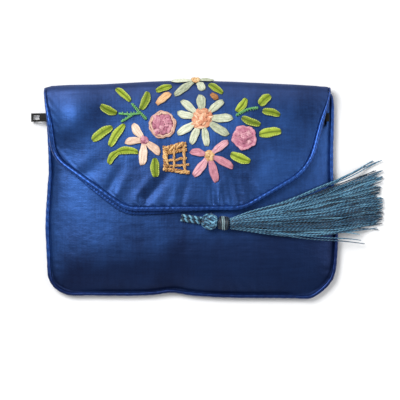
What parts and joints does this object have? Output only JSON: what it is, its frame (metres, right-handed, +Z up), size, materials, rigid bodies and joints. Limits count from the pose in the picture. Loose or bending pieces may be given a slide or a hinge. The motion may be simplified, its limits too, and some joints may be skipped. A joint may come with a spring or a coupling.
{
  "type": "embroidered purse",
  "caption": "Flat satin pouch with a piped fold-over flap, ribbon embroidery, a zipped pocket under the flap and a silk tassel; holds coins and jewellery.",
  "frame": {"origin": "Middle of the back panel's flat resting face, on the surface the closed purse lies on.", "axes": "+X across the front towards the tassel's skirt, +Y from the bottom seam to the top fold, +Z up out of the embroidered front."},
  "size_m": [0.188, 0.1185, 0.0211],
  "materials": {
    "satin": "glossy blue satin weave",
    "satin_edge": "glossy blue satin rolled over cord",
    "black_metal": "black painted zinc",
    "zip_cloth": "dark blue woven tape with moulded teeth",
    "snap_metal": "plain nickel",
    "tassel_silk": "glossy teal twisted thread",
    "tassel_dark": "dark teal wrapped thread",
    "leaf_ribbon": "yellow green ribbon",
    "peach_ribbon": "peach ribbon",
    "brown_ribbon": "brown ribbon",
    "cream_ribbon": "cream green ribbon",
    "blush_ribbon": "cream pink ribbon",
    "pink_ribbon": "pink ribbon",
    "rose_ribbon": "dusty pink gathered ribbon",
    "stem_thread": "mint green thread",
    "gold_thread": "gold brown thread"
  },
  "bodies": {
    "purse": {"pouch_shell": "satin", "body_piping": "satin_edge", "flap": "satin", "flap_piping": "satin_edge", "flap_facing": "satin_edge", "flap_snap": "snap_metal", "zip_tape": "zip_cloth", "zip_end_stop": "black_metal", "zip_slider": "black_metal", "tassel_loop": "tassel_silk", "tassel_head": "tassel_silk", "tassel_wrap": "tassel_dark", "tassel_skirt": "tassel_silk", "leaf_a": "leaf_ribbon", "leaf_b": "leaf_ribbon", "leaf_c": "leaf_ribbon", "leaf_d": "leaf_ribbon", "leaf_e": "leaf_ribbon", "leaf_f": "leaf_ribbon", "leaf_g": "leaf_ribbon", "leaf_h": "leaf_ribbon", "leaf_i": "leaf_ribbon", "leaf_j": "leaf_ribbon", "leaf_k": "leaf_ribbon", "leaf_l": "leaf_ribbon", "leaf_m": "leaf_ribbon", "leaf_n": "leaf_ribbon", "leaf_o": "leaf_ribbon", "leaf_p": "leaf_ribbon", "petal_peach": "peach_ribbon", "petal_brown": "brown_ribbon", "daisy": "cream_ribbon", "fold_flower": "cream_ribbon", "blush_flower": "blush_ribbon", "pink_flower": "pink_ribbon", "rose_left": "rose_ribbon", "rose_right": "rose_ribbon", "stem_left": "stem_thread", "stem_right": "stem_thread", "basket": "gold_thread"},
    "zip_pull": {"zip_pull": "black_metal"}
  },
  "joints": [
    {"name": "zip_pull_hinge", "type": "hinge", "parent": "purse", "child": "zip_pull", "pos_m": [-0.06592, 0.0387, 0.00973], "axis": [0, 1, 0], "range_deg": [0, 10]}
  ]
}
